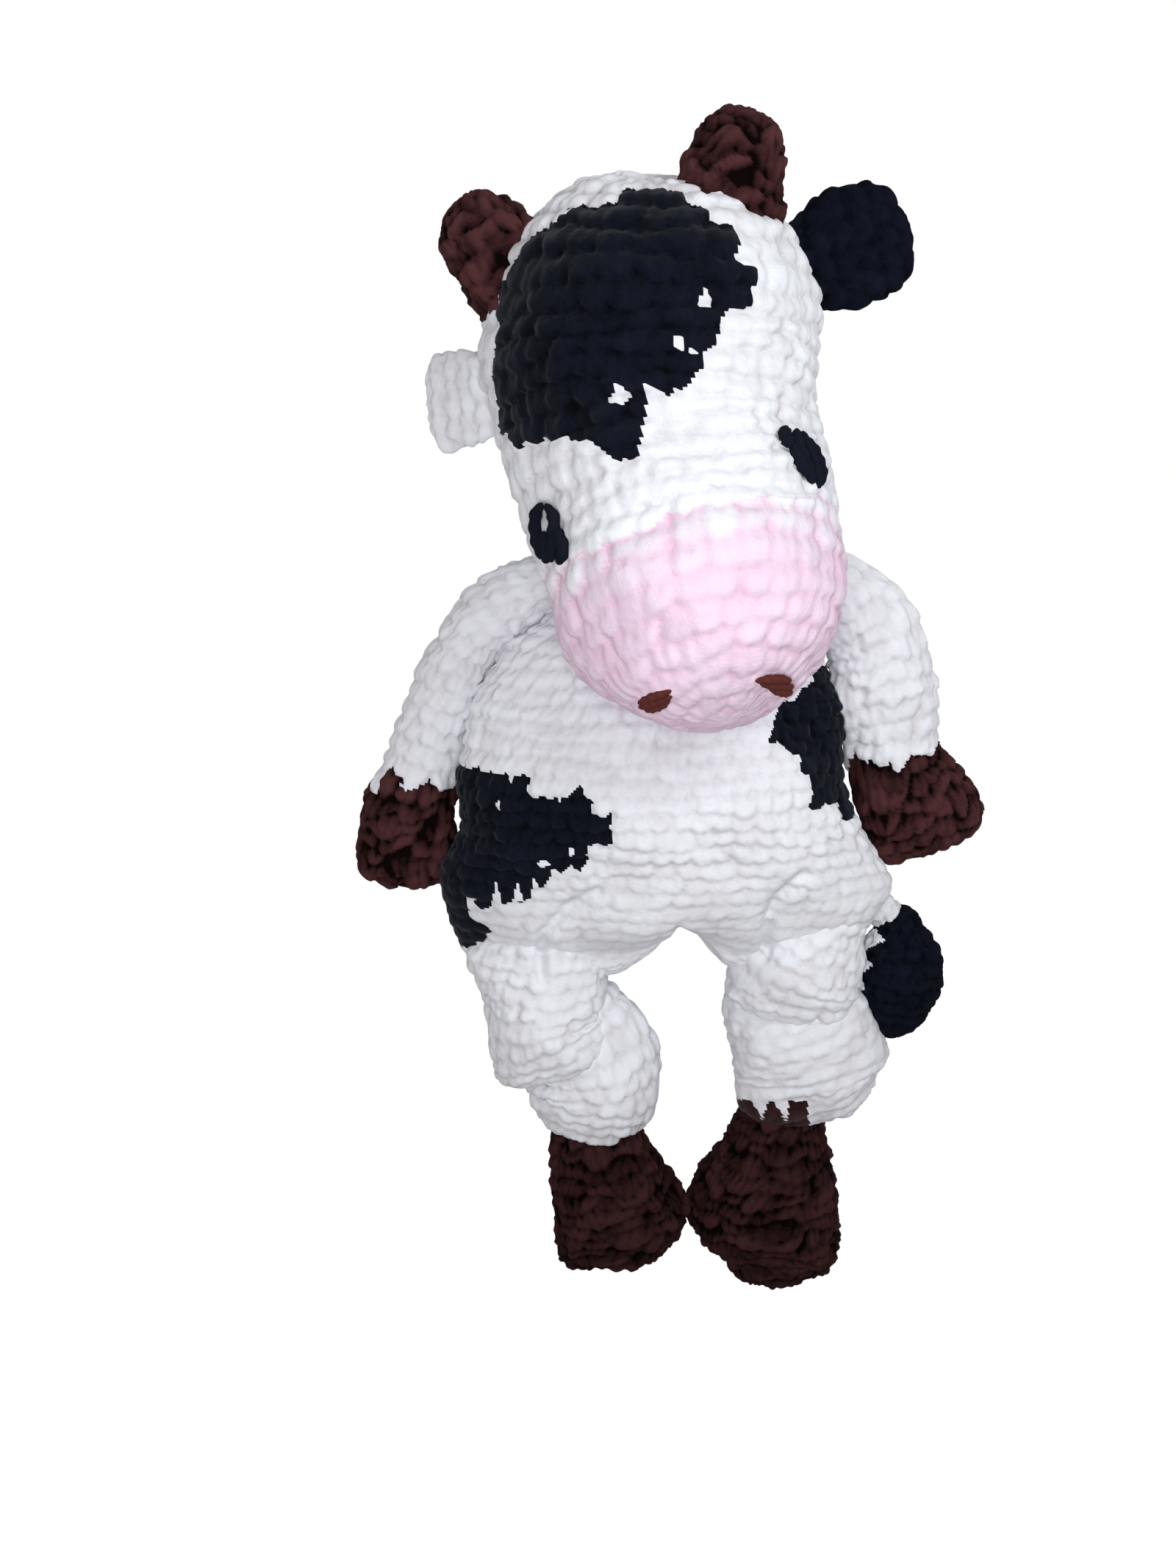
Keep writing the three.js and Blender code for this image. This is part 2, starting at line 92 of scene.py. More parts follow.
def inside(pixels, outline):
    """Which pixels lie within a closed outline."""
    x, y = pixels[..., 0], pixels[..., 1]
    hit = np.zeros(x.shape, bool)
    for (x1, y1), (x2, y2) in zip(outline, outline[1:] + outline[:1]):
        if y1 == y2:
            continue
        crosses = (y1 > y) != (y2 > y)
        hit ^= crosses & (x < (x2 - x1) * (y - y1) / (y2 - y1) + x1)
    return hit


# Materials


def node(tree, kind, **settings):
    """A new node with its own settings, other than those of its sockets."""
    made = tree.nodes.new(kind)
    for key, value in settings.items():
        setattr(made, key, value)
    return made


def between(tree, factor, first, second):
    """A colour that goes from the first to the second with the factor."""
    mix = node(tree, "ShaderNodeMix", data_type="RGBA")
    tree.links.new(factor, mix.inputs["Factor"])
    tree.links.new(first, mix.inputs[6])
    tree.links.new(second, mix.inputs[7])
    return mix.outputs[2]


def noise(tree, place, scale, detail, roughness=0.5):
    """Cloudy noise in the piece's own space, in waves per metre."""
    made = node(tree, "ShaderNodeTexNoise")
    made.inputs["Scale"].default_value = scale
    made.inputs["Detail"].default_value = detail
    made.inputs["Roughness"].default_value = roughness
    tree.links.new(place.outputs["Object"], made.inputs["Vector"])
    return made.outputs["Fac"]


def average(tree, first, second, share):
    """A value between the first and the second, by the second's share."""
    mix = node(tree, "ShaderNodeMix", data_type="FLOAT")
    mix.inputs[0].default_value = share
    tree.links.new(first, mix.inputs[2])
    tree.links.new(second, mix.inputs[3])
    return mix.outputs[0]


# Each yarn: its colour on top of a stitch, with a painted highlight, its colour between stitches, with
# painted shade (the white's cooler on top and warmer between, as its light and shade), how much the relief
# counts in its painted highlight and shade, the scale of the drift in it, its sheen and how much its pile
# stands out
SHADES = {
    "white": ((0.865, 0.88, 0.935), (0.72, 0.705, 0.73), 0.5, 45, 0.1, 1.0),
    "black": ((0.0075, 0.0095, 0.019), (0.0015, 0.0018, 0.0035), 0.3, 190, 0.03, 1.2),
    "pink": ((0.87, 0.705, 0.84), (0.8, 0.56, 0.7), 0.42, 45, 0.1, 1.0),
    "brown": ((0.088, 0.031, 0.032), (0.0045, 0.0016, 0.0016), 0.6, 330, 0.14, 2.0),
    # The same brown yarn as above, painted darker: painted shade on the foot hooves and the ankle wedges
    "umber": ((0.05, 0.018, 0.0185), (0.0025, 0.0009, 0.0009), 0.6, 330, 0.14, 2.0),
    "nostril": ((0.13, 0.035, 0.03), (0.05, 0.013, 0.01), 0.5, 45, 0.2, 0.6),
    "eye": ((0.011, 0.013, 0.022), (0.004, 0.005, 0.009), 0.5, 45, 0.06, 0.6),
    "thread": ((0.85, 0.84, 0.86), (0.72, 0.7, 0.72), 0.5, 45, 0.2, 0.6),
}
SLOT = {
    "white": "white_chenille",
    "black": "black_chenille",
    "pink": "pink_chenille",
    "brown": "brown_chenille",
    # the brown with painted shade keeps the brown yarn's slot
    "umber": "brown_chenille",
    "nostril": "russet_yarn",
    "eye": "black_yarn",
    "thread": "sewing_yarn",
}
DARKEST, LIGHTEST = 0.32, 0.66  # a shade goes from dark to light between these
SHARE_FROM, SHARE_OVER = 0.42, 0.16  # the share at which a second colour begins to show, and over how much
YARNS = {}


def yarn(*colours):
    """The material of a piece in one yarn, or in several where an attribute named for each says so.
    It is velvety, painted lighter where a stitch stands up and darker between stitches, as painted
    highlight and shade, with shades that drift, and a fine pile."""
    if colours in YARNS:
        return YARNS[colours]
    sheen, fuzz = SHADES[colours[0]][4:]
    material = bpy.data.materials.new("_".join(colours) + "_yarn" if len(colours) > 1 else SLOT[colours[0]])
    material.use_nodes = True
    tree = material.node_tree
    surface = tree.nodes["Principled BSDF"]
    place = node(tree, "ShaderNodeTexCoord")
    relief = node(tree, "ShaderNodeAttribute", attribute_name="relief")
    pile = noise(tree, place, scale=700, detail=5, roughness=0.7)
    shown = None
    for colour in colours:
        light, dark, deep, grain = SHADES[colour][:4]
        shade = node(tree, "ShaderNodeValToRGB")
        shade.color_ramp.elements[0].position = DARKEST
        shade.color_ramp.elements[0].color = (*dark, 1)
        shade.color_ramp.elements[1].position = LIGHTEST
        shade.color_ramp.elements[1].color = (*light, 1)
        worn = average(tree, noise(tree, place, grain, detail=4), pile, 0.5)
        # The stitch relief paints a highlight on the tops of stitches and shade between them
        tree.links.new(average(tree, worn, relief.outputs["Fac"], deep), shade.inputs["Fac"])
        if shown is None:
            shown = shade.outputs["Color"]
            continue
        spread = node(tree, "ShaderNodeAttribute", attribute_name=colour)
        edge = node(tree, "ShaderNodeMapRange", interpolation_type="SMOOTHSTEP")
        edge.inputs["From Min"].default_value = SHARE_FROM
        edge.inputs["From Max"].default_value = SHARE_FROM + SHARE_OVER
        tree.links.new(spread.outputs["Fac"], edge.inputs["Value"])
        shown = between(tree, edge.outputs["Result"], shown, shade.outputs["Color"])
    tree.links.new(shown, surface.inputs["Base Color"])
    under = None
    clumps = noise(tree, place, scale=190, detail=2)
    for height, strength, distance in ((clumps, 0.5, 1.2 * MM), (pile, 0.6, 0.6 * MM)):
        bump = node(tree, "ShaderNodeBump")
        bump.inputs["Strength"].default_value = strength * fuzz
        bump.inputs["Distance"].default_value = distance
        tree.links.new(height, bump.inputs["Height"])
        if under is not None:
            tree.links.new(under, bump.inputs["Normal"])
        under = bump.outputs["Normal"]
    tree.links.new(under, surface.inputs["Normal"])
    surface.inputs["Roughness"].default_value = 0.95
    surface.inputs["Specular IOR Level"].default_value = 0.04
    surface.inputs["Sheen Weight"].default_value = sheen
    surface.inputs["Sheen Roughness"].default_value = 0.45
    surface.inputs["Sheen Tint"].default_value = (*SHADES[colours[0]][0], 1)
    YARNS[colours] = material
    return material


# Forms: a form runs through stations, each the x, y and z of its middle, its half width and how tall it
# is. A station whose z is None lies on the floor. cap says how far beyond its two ends a form takes to
# close.

ROW_STEPS = 7  # grid steps in one row of stitches
STITCH_STEPS = 7  # grid steps in one stitch where the form is widest
LINE_STEPS = 160  # points on the line through the stations
CAP_STEPS = 40  # rings on each end
TURN_STEPS = 240  # points round a ring when its girth is measured
SQUASHED = 0.5  # how much of a lying piece the floor flattens
FEWEST = 6  # stitches in the smallest round
CLOSED = 0.5  # a round of this girth or less is a point
DRIFT = 0.12  # how far each round starts beyond the one before, in stitches
BRICK = 0.5  # how far every other round is shifted, in stitches

# One stitch, in stitches wide and rows tall
CHANCE = {"slide": 0.07, "slant": 0.16, "size": 0.08, "rise": 0.1}  # how much one differs from the next
SMALLER, LARGER = -0.25, 0.3  # the most that its size may differ
NARROWEST = 0.3
LEAN = 0.16
ROUNDNESS = 2.2  # 2 makes a puff's outline an ellipse, and more squares it off
PUFF_HEIGHT = 0.75
HIGHEST = 1.15  # the height that counts as full relief in the yarn's painted highlight and shade
CLEFT_BACK, CLEFT_SIZE = 0.35, (0.14, 0.22)
GROOVE_LEAN, GROOVE_WIDTH = 0.1, 0.09
SWAY_WAVES = ((2, 0.13), (5, -0.21), (7, 0.34))  # waves round the form and how far each climbs in a row

# Yarn that is pressed on the floor: how high it lies, and how much of its relief it keeps within a depth
ON_FLOOR, KEPT_RELIEF, PRESSED = 0.25, 0.05, 3.0


def smooth_path(stations, count):
    """Points on the smooth curve through the stations, evenly spaced along its chords."""
    knots = np.array(stations, float)
    chord = np.linalg.norm(np.diff(knots[:, :3], axis=0), axis=1)
    at = np.concatenate([[0], np.cumsum(chord)])
    t = np.linspace(0, at[-1], count)
    i = np.clip(np.searchsorted(at, t, side="right") - 1, 0, len(knots) - 2)
    w = ((t - at[i]) / (at[i + 1] - at[i]))[:, None]
    before = knots[np.maximum(i - 1, 0)]
    after = knots[np.minimum(i + 2, len(knots) - 1)]
    here, there = knots[i], knots[i + 1]
    span = (at[i + 1] - at[i])[:, None]
    back = (at[i] - at[np.maximum(i - 1, 0)])[:, None]
    on = (at[np.minimum(i + 2, len(knots) - 1)] - at[i + 1])[:, None]
    m0 = (there - before) * span / (span + back)
    m1 = (after - here) * span / (span + on)
    return (2 * w**3 - 3 * w**2 + 1) * here + (w**3 - 2 * w**2 + w) * m0 \
        + (-2 * w**3 + 3 * w**2) * there + (w**3 - w**2) * m1


def unit(v):
    return v / np.maximum(np.linalg.norm(v, axis=-1, keepdims=True), 1e-9)


def closed_rings(line, tangent, cap, power):
    """The rings along a line and on the round ends that close it: the line's own values at each, its
    heading, and how far it is drawn in."""
    turns = np.linspace(0, math.pi / 2, CAP_STEPS)
    shrink = np.maximum(np.cos(turns), 0) ** (2 / power)
    ends = []
    for at, over in ((0, -cap[0]), (-1, cap[1])):
        end = np.repeat(line[[at]], CAP_STEPS, axis=0)
        end[:, :3] += (over * np.sin(turns))[:, None] * tangent[at]
        ends.append((end, np.repeat(tangent[[at]], CAP_STEPS, axis=0)))
    (first, first_heading), (last, last_heading) = ends
    rings = np.concatenate([first[::-1], line[1:-1], last])
    headings = np.concatenate([first_heading[::-1], tangent[1:-1], last_heading])
    drawn_in = np.concatenate([shrink[::-1], np.ones(len(line) - 2), shrink])
    return rings, headings, drawn_in


def even_angles(half, tall, share):
    """The angles at which the shares of each ring's girth lie, and the girths."""
    turn = np.linspace(0, 2 * math.pi, TURN_STEPS + 1)
    angles = np.empty((len(half), len(share)))
    girth = np.empty(len(half))
    for r in range(len(half)):
        x, z = half[r] * np.cos(turn), tall[r] * np.sin(turn)
        arc = np.concatenate([[0], np.cumsum(np.hypot(np.diff(x), np.diff(z)))])
        girth[r] = arc[-1]
        angles[r] = np.interp(share * arc[-1], arc, turn) if arc[-1] > CLOSED else share * 2 * math.pi
    return angles, girth


def squared_off(wave, power):
    """A sine or a cosine, bent so that the ellipse it draws is squared off. A power of 2 keeps it."""
    return np.sign(wave) * np.abs(wave) ** (2 / power)


def puff_height(dx, dy, wide, long, high, step, cleft, groove):
    """The height of a puff of yarn at a distance from its middle, and -1 beyond its edge."""
    d = (np.abs(dx) / wide) ** ROUNDNESS + (np.abs(dy) / long) ** ROUNDNESS
    h = np.sqrt(np.maximum(1 - d, 0)) * high + step * dy
    pit = (dx / CLEFT_SIZE[0]) ** 2 + ((dy + CLEFT_BACK) / CLEFT_SIZE[1]) ** 2
    h = h - cleft * np.exp(-pit)
    h = h - groove * np.exp(-(((dx - GROOVE_LEAN * dy) / GROOVE_WIDTH) ** 2))
    return np.where(d < 1, np.maximum(h, 0), -1)


class Knit:
    """A closed form worked in rounds of stitches from its first station to its last. pitch and row are
    the size of a stitch, power squares the rounds off, swell and lump are heights of the whole surface
    and of its soft lumps. The rounds face along the line, or evenly from its one end's way to the
    other's, or all in one heading."""

    def __init__(self, stations, cap, pitch=10.0, row=9.0, power=2.0, swell=0.0, lump=1.0,
                 even_bend=False, heading=None):
        placed = [
            (x, y, tall / 2 - SQUASHED if z is None else z, half, tall) for x, y, z, half, tall in stations
        ]
        line = smooth_path(placed, LINE_STEPS)
        tangent = unit(np.gradient(line[:, :3], axis=0))
        if even_bend:
            share = np.linspace(0, 1, len(line))[:, None]
            tangent = unit((1 - share) * tangent[0] + share * tangent[-1])
        if heading is not None:
            tangent = np.repeat(unit(np.array([heading], float)), len(line), axis=0)
        level = all(z is None for x, y, z, half, tall in stations)
        rings, headings, drawn_in = closed_rings(line, tangent, cap, power)
        half = rings[:, 3] * drawn_in
        tall = rings[:, 4] / 2 * drawn_in
        along = np.linalg.norm(np.diff(rings[:, :3], axis=0), axis=1)
        steps = (np.hypot(along, np.diff(half)) + np.hypot(along, np.diff(tall))) / 2
        travel = np.concatenate([[0], np.cumsum(steps)])
        self.rows = max(2, round(travel[-1] / row))
        even = np.linspace(0, travel[-1], self.rows * ROW_STEPS + 1)

        def pick(values):
            return np.stack([np.interp(even, travel, values[:, c]) for c in range(values.shape[1])], -1)

        middle = pick(rings[:, :3])
        facing = unit(pick(headings))
        half = np.interp(even, travel, half)
        tall = np.interp(even, travel, tall)
        if level:
            facing[:, 2] = 0
            facing = unit(facing)
        across = unit(np.cross(facing, [0, 0, 1.0]))
        upward = unit(np.cross(across, facing))
        size = np.max(np.pi * (3 * (half + tall) - np.sqrt((3 * half + tall) * (half + 3 * tall))))
        self.columns = max(FEWEST, round(size / pitch)) * STITCH_STEPS
        self.share = np.arange(self.columns) / self.columns
        angles, self.girth = even_angles(half, tall, self.share)
        wide = half[:, None] * squared_off(np.cos(angles), power)
        high = tall[:, None] * squared_off(np.sin(angles), power)
        self.points = middle[:, None] + across[:, None] * wide[..., None]
        self.points += upward[:, None] * high[..., None]
        self.middle = middle
        self.pitch = pitch
        self.swell = swell
        self.lump = lump

    def normals(self, points):
        """Which way is outward at each grid point."""
        down = np.gradient(points, axis=0)
        round_ = np.roll(points, -1, axis=1) - np.roll(points, 1, axis=1)
        n = unit(np.cross(round_, down))
        flat = np.linalg.norm(np.cross(round_, down), axis=-1) < 1e-9
        n[flat] = unit(points - self.middle[:, None])[flat]
        outward = np.sum(n * (points - self.middle[:, None]), axis=-1)
        return n * (1 if np.median(outward) > 0 else -1)

    def stitches(self, tall=3.4, step=0.55, cleft=0.3, puff=(0.62, 0.7), nub=0.3, wild=1.0, groove=0.1,
                 sway=0.07):
        """The height of the yarn over each grid point, and which stitch lies on top there. Each stitch is
        a puff that rides over the next row by its step, with a pit at its root (cleft) and a groove along
        it. tall is the height of the relief, nub that of the pile's grain. wild scales the chances, and
        sway is how much the rows wave."""
        rings = self.points.shape[0]
        f = self.share[None]
        v = np.arange(rings)[:, None] / ROW_STEPS
        v = v + sway * sum(
            np.sin(2 * math.pi * (waves * f + climb * v) + waves) for waves, climb in SWAY_WAVES
        )
        best = np.full((rings, self.columns), -1.0)
        row_of = np.zeros((rings, self.columns), int)
        column_of = np.zeros((rings, self.columns), int)
        girth_at = np.interp(np.arange(self.rows) + 0.5, np.arange(rings) / ROW_STEPS, self.girth)
        counts = np.maximum(FEWEST, np.round(girth_at / self.pitch).astype(int))
        self.counts = counts
        most = counts.max() + 1
        size, rise, slide, slant = dice.normal(0, 1, (4, self.rows, most))
        girth = self.girth[:, None]
        for offset in (-1, 0, 1):
            r = np.floor(v).astype(int) + offset
            valid = (r >= 0) & (r < self.rows)
            rr = np.clip(r, 0, self.rows - 1)
            n = counts[rr]
            t = f * n - DRIFT * rr - self.brick * (rr % 2)
            dy = v - (rr + 0.5)
            for side in (-1, 0, 1):
                k = np.floor(t) + side
                column = np.mod(k, n).astype(int)
                spacing = np.maximum(girth / n, NARROWEST * self.pitch) / self.pitch
                dx = (t - (k + 0.5)) * spacing + CHANCE["slide"] * wild * slide[rr, column]
                dx = dx + (LEAN + CHANCE["slant"] * wild * slant[rr, column]) * dy
                reach = 1 + np.clip(CHANCE["size"] * wild * size[rr, column], SMALLER, LARGER)
                long = np.where(dy > 0, puff[1], 1.0) * reach
                high = PUFF_HEIGHT + CHANCE["rise"] * wild * rise[rr, column]
                h = puff_height(dx, dy, puff[0] * reach, long, high, step, cleft, groove)
                h = np.where(valid, h, -1)
                top = h > best
                best = np.where(top, h, best)
                row_of = np.where(top, rr, row_of)
                column_of = np.where(top, column, column_of)
        here = np.clip(np.floor(v).astype(int), 0, self.rows - 1)
        lead = f * counts[here] - DRIFT * here - self.brick * (here % 2)
        row_of = np.where(best < 0, here, row_of)
        column_of = np.where(best < 0, np.mod(np.floor(lead), counts[here]).astype(int), column_of)
        self.row_of, self.column_of = row_of, column_of
        # The stitch height, which the yarn paints as a highlight on top and as shade between stitches
        self.relief = np.clip(best / HIGHEST, 0, 1)
        fluff = dice.normal(0, 1, (rings, self.columns))
        for axis in (0, 1, 0, 1):
            fluff = (np.roll(fluff, 1, axis) + 2 * fluff + np.roll(fluff, -1, axis)) / 4
        roomy = np.clip(girth / self.columns, 0, 1)  # fades the relief where a round closes
        height = tall * (np.maximum(best, 0.0) - PUFF_HEIGHT) * np.clip(2 * roomy, 0.4, 1)
        return height + nub * roomy * fluff / fluff.std()

    def work(self, calm=1.0, brick=BRICK, **style):
        """Raises the stitches, adds the soft lumps of a hand-filled bag and flattens it on the floor.
        calm tells how much of the stitches stands out at each grid point."""
        self.brick = brick
        height = self.stitches(**style) * calm
        base = self.points
        wave = sum(np.sin(base @ (way * 2 * math.pi / length) + phase) for way, length, phase in LUMPS)
        out = base + self.normals(base) * (height + self.swell + self.lump * wave)[..., None]
        z = out[..., 2]
        out[..., 2] = np.maximum(z, ON_FLOOR + KEPT_RELIEF * np.clip(z + PRESSED, 0, PRESSED))
        self.surface = out
        return self

    def centres(self):
        """Where the middle of each grid point's own stitch is, in millimetres."""
        rings = self.points.shape[0]
        v = (self.row_of + 0.5) * ROW_STEPS
        lead = self.column_of + 0.5 + DRIFT * self.row_of + self.brick * (self.row_of % 2)
        f = np.mod(lead / self.counts[self.row_of], 1) * self.columns
        i = np.clip(np.round(v).astype(int), 0, rings - 1)
        j = np.mod(np.round(f).astype(int), self.columns)
        return self.points[i, j]


# The lumps of a hand-filled bag: waves, each with its direction, its length and its phase
LUMPS = [
    (unit(np.array([1.0, 0.3, 0.5])), 61.0, 0.3),
    (unit(np.array([-0.4, 1.0, 0.2])), 47.0, 1.9),
    (unit(np.array([0.5, -0.6, 1.0])), 53.0, 4.1),
    (unit(np.array([0.8, 0.9, -0.3])), 37.0, 2.6),
]
WELD = 0.02  # points closer than this become one, where a form closes


def record(mesh, name, values):
    """Stores a value for each point, for the yarn to read."""
    mesh.attributes.new(name, "FLOAT", "POINT").data.foreach_set("value", np.asarray(values, float).ravel())


def piece(name, knit, colours, body, *, keep=None, stands_for=(), slot="white", blend=None,
          pale=None):
    """Makes a mesh from the part of a form that keep selects, in the colour of each grid point. pale
    tells how far each grid point fades to white."""
    rings, columns = knit.surface.shape[:2]
    a = np.arange(rings - 1)[:, None] * columns + np.arange(columns)[None]
    b = np.arange(rings - 1)[:, None] * columns + (np.arange(columns)[None] + 1) % columns
    faces = np.stack([a, b, b + columns, a + columns], -1).reshape(-1, 4)
    if keep is not None:
        faces = faces[keep[:-1].reshape(-1)]
    points = knit.surface.reshape(-1, 3)
    used, faces = np.unique(faces, return_inverse=True)
    faces = faces.reshape(-1, 4)
    tint = colours.reshape(-1)[used]
    shares = {n: (tint == n).astype(float) for n in SHADES if n != slot and np.any(tint == n)}
    if pale is not None:
        fade = (SHARE_FROM + SHARE_OVER * pale).reshape(-1)[used]
        shares["white"] = np.maximum(shares.get("white", 0.0), fade)
    mesh = bpy.data.meshes.new(name)
    mesh.from_pydata((points[used] * MM).tolist(), [], faces.tolist())
    record(mesh, "relief", knit.relief.reshape(-1)[used])
    for n, share in shares.items():
        record(mesh, n, share)
    mesh.materials.append(yarn(slot, *shares))
    mesh.polygons.foreach_set("use_smooth", np.ones(len(faces), bool))
    dress(name, mesh, body, stands_for, blend)


def dress(name, mesh, body, stands_for, blend=None):
    """Puts a mesh into the scene, on its body, or on none where it lies between two, in place of the solids
    it stands for.
    """
    bm = bmesh.new()
    bm.from_mesh(mesh)
    bmesh.ops.remove_doubles(bm, verts=bm.verts, dist=WELD * MM)
    bmesh.ops.recalc_face_normals(bm, faces=bm.faces)
    bm.to_mesh(mesh)
    bm.free()
    made = bpy.data.objects.new(name, mesh)
    bpy.context.scene.collection.objects.link(made)
    if blend:
        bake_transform(made)
    else:
        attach(made, body)
    if stands_for:
        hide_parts(*stands_for)


def paint(knit, plain, *patches):
    """The colour of each grid point: plain, or the colour of the first patch that it is in. A patch's
    edge follows its outline and gives way to the stitches along it."""
    where = knit.centres()
    shown = (pixel(where) + pixel(knit.surface)) / 2
    tint = np.full(where.shape[:2], plain, dtype=object)
    for colour, test in reversed(patches):
        tint[test(where, shown)] = colour
    return tint


def traced(outline, above):
    """A patch traced on the photograph, on what lies above a height, which is the camera's side."""
    return lambda where, shown: inside(shown, outline) & (where[..., 2] > above)


def daub(tint, knit, colour, outlines, above=0.0):
    """Colours the grid points that show within the outlines, whatever their stitch."""
    shown = pixel(knit.surface)
    for outline in outlines:
        tint[inside(shown, outline) & (knit.surface[..., 2] > above)] = colour


def crease(knit, lines, depth=4.5, width=8.0, above=25.0, over=10.0):
    """Presses the camera's side in along lines traced on the photograph. width is in its pixels. The
    crease begins above a height and has its full depth from over that on."""
    shown = pixel(knit.surface)
    near = np.full(shown.shape[:2], np.inf)
    for line in lines:
        for start, end in zip(np.array(line[:-1], float), np.array(line[1:], float)):
            way = end - start
            along = np.clip((shown - start) @ way / np.sum(way**2), 0, 1)
            near = np.minimum(near, np.linalg.norm(shown - start - along[..., None] * way, axis=-1))
    press = depth * np.exp(-((near / width) ** 2)) * np.clip((knit.surface[..., 2] - above) / over, 0, 1)
    knit.surface = knit.surface - knit.normals(knit.points) * press[..., None]


# The pieces. Stations are in millimetres. Patches, specks, creases and strands are traced on the
# photograph, in its pixels.

# Head and muzzle

HEAD_PATCH = [
    (732, 312), (774, 285), (846, 263), (872, 256), (917, 258), (933, 278), (964, 287), (1000, 316),
    (1000, 352), (1029, 361), (1032, 388), (1022, 421), (1000, 410), (984, 424), (986, 450), (968, 477),
    (944, 464), (946, 504), (917, 540), (881, 520), (877, 566), (868, 616), (835, 624), (797, 598),
    (756, 602), (712, 589), (703, 604), (681, 580), (672, 513), (676, 441), (672, 388),
]
HEAD_SPECKS = [
    [(945, 418), (958, 392), (970, 404), (968, 420)], [(917, 474), (921, 450), (930, 462), (928, 476)],
    [(827, 549), (840, 519), (860, 537), (852, 549)],
]
HEAD = [
    (-10.5, 213, 71.5, 71, 142), (-11, 191, 71.5, 73, 144), (-9, 170, 72, 70.5, 143),
    (-3, 148, 77, 68.5, 140), (4, 125, 88, 66.5, 136), (8.5, 104, 100, 64, 131),
]
MUZZLE_RIM = [(715, 795), (760, 760), (905, 700), (1040, 670), (1200, 690)]
MUZZLE = MUZZLE_RIM + [(1300, 1200), (500, 1200)]
MUZZLE_UNDER = 78  # below this y the round is all muzzle, on its hidden side too
MUZZLE_CALM = {"over": 90, "by": 0.3}  # the pixels below the rim in which the relief falls by a share
PALE_BELOW = 95  # pixels below the rim over which the tips of the stitches lose the white of the head

head = Knit(HEAD, (56, 66), pitch=13.4, row=11.4, swell=0.4, lump=0.6, even_bend=True)
head_shown = pixel(head.points)
below_rim = head_shown[..., 1] - np.interp(head_shown[..., 0], *np.transpose(MUZZLE_RIM))
head.work(tall=4.6, calm=1 - MUZZLE_CALM["by"] * np.clip(below_rim / MUZZLE_CALM["over"], 0, 1))


def is_muzzle(where, shown):
    return inside(shown, MUZZLE) | (where[..., 1] < MUZZLE_UNDER)


HEAD_MIDDLE = 70  # the height of the head's middle, above which the camera sees it
head_tint = paint(head, "white", ("pink", is_muzzle), ("black", traced(HEAD_PATCH, HEAD_MIDDLE)))
daub(head_tint, head, "white", HEAD_SPECKS, HEAD_MIDDLE)
pink = head_tint == "pink"
piece("head", head, head_tint, "head", keep=~pink, stands_for=("head_shell", "head_stuffing"))
tips = np.clip(1.4 * head.relief - 0.2, 0, 1) * np.clip(1 - below_rim / PALE_BELOW, 0, 1)
piece("muzzle", head, head_tint, "head", keep=pink, stands_for=("muzzle_shell",), slot="pink",
      pale=np.clip(1.15 * tips, 0, 1))

# Face: strands of yarn stitched over the head, each told by the pixels that it runs through

NEAREST, BLUR = 8, 0.5  # grid points that share in finding a place on a form, and how evenly, in pixels
TAPER = 0.75  # how much thinner a strand is at its ends
BEADS, BEAD_DEPTH = 4.5, 0.1
PLIES, PLY_DEPTH, TWIST = 3, 0.07, 2.5
STRAND_RISE = 1.9  # how far the middle of a strand lies over the head's form


def on_surface(knit, pixels, rise):
    """Points on a form's near side that show at the given pixels, raised off it."""
    normals = knit.normals(knit.points).reshape(-1, 3)
    points = knit.points.reshape(-1, 3)
    near = np.sum(normals * (EYE - points), axis=1) > 0
    points, normals = points[near], normals[near]
    shown = pixel(points)
    found = []
    for u, v in pixels:
        far = np.hypot(shown[:, 0] - u, shown[:, 1] - v)
        closest = np.argsort(far)[:NEAREST]
        weight = (1 / (far[closest] + BLUR))[:, None]
        place = np.sum(points[closest] * weight, 0) / weight.sum()
        found.append(place + rise * unit(np.sum(normals[closest] * weight, 0)))
    return np.array(found)


def strands(name, paths, radius, colour, body, stands_for, sides=10, steps=26):
    """Yarn tubes that follow their paths, twisted, and pulled in at both ends."""
    positions, faces = [], []
    for path in paths:
        knots = np.concatenate([path, np.full((len(path), 2), radius)], 1)
        line = smooth_path(knots, steps)
        tangent = unit(np.gradient(line[:, :3], axis=0))
        side = unit(np.cross(tangent, [0.13, 0.21, 1.0]))
        over = unit(np.cross(side, tangent))
        along = np.linspace(0, 1, steps)
        beads = 1 + BEAD_DEPTH * np.sin(along * BEADS * 2 * math.pi)
        thick = radius * (1 - TAPER * np.abs(2 * along - 1) ** 4) * beads
        start = len(positions)
        for k in range(steps):
            for j in range(sides):
                turn = 2 * math.pi * j / sides + TWIST * along[k]
                reach = thick[k] * (1 + PLY_DEPTH * math.cos(PLIES * turn))
                spoke = math.cos(turn) * side[k] + math.sin(turn) * over[k]
                positions.append(line[k, :3] + reach * spoke)
        for k in range(steps - 1):
            for j in range(sides):
                a, b = start + k * sides + j, start + k * sides + (j + 1) % sides
                faces.append((a, b, b + sides, a + sides))
        faces.append(tuple(start + j for j in reversed(range(sides))))
        faces.append(tuple(start + (steps - 1) * sides + j for j in range(sides)))
    mesh = bpy.data.meshes.new(name)
    mesh.from_pydata((np.array(positions) * MM).tolist(), [], faces)
    # One level of painted stitch highlight and shade all along a strand
    record(mesh, "relief", np.full(len(positions), 0.6))
    mesh.materials.append(yarn(colour))
    mesh.polygons.foreach_set("use_smooth", np.ones(len(faces), bool))
    dress(name, mesh, body, stands_for)


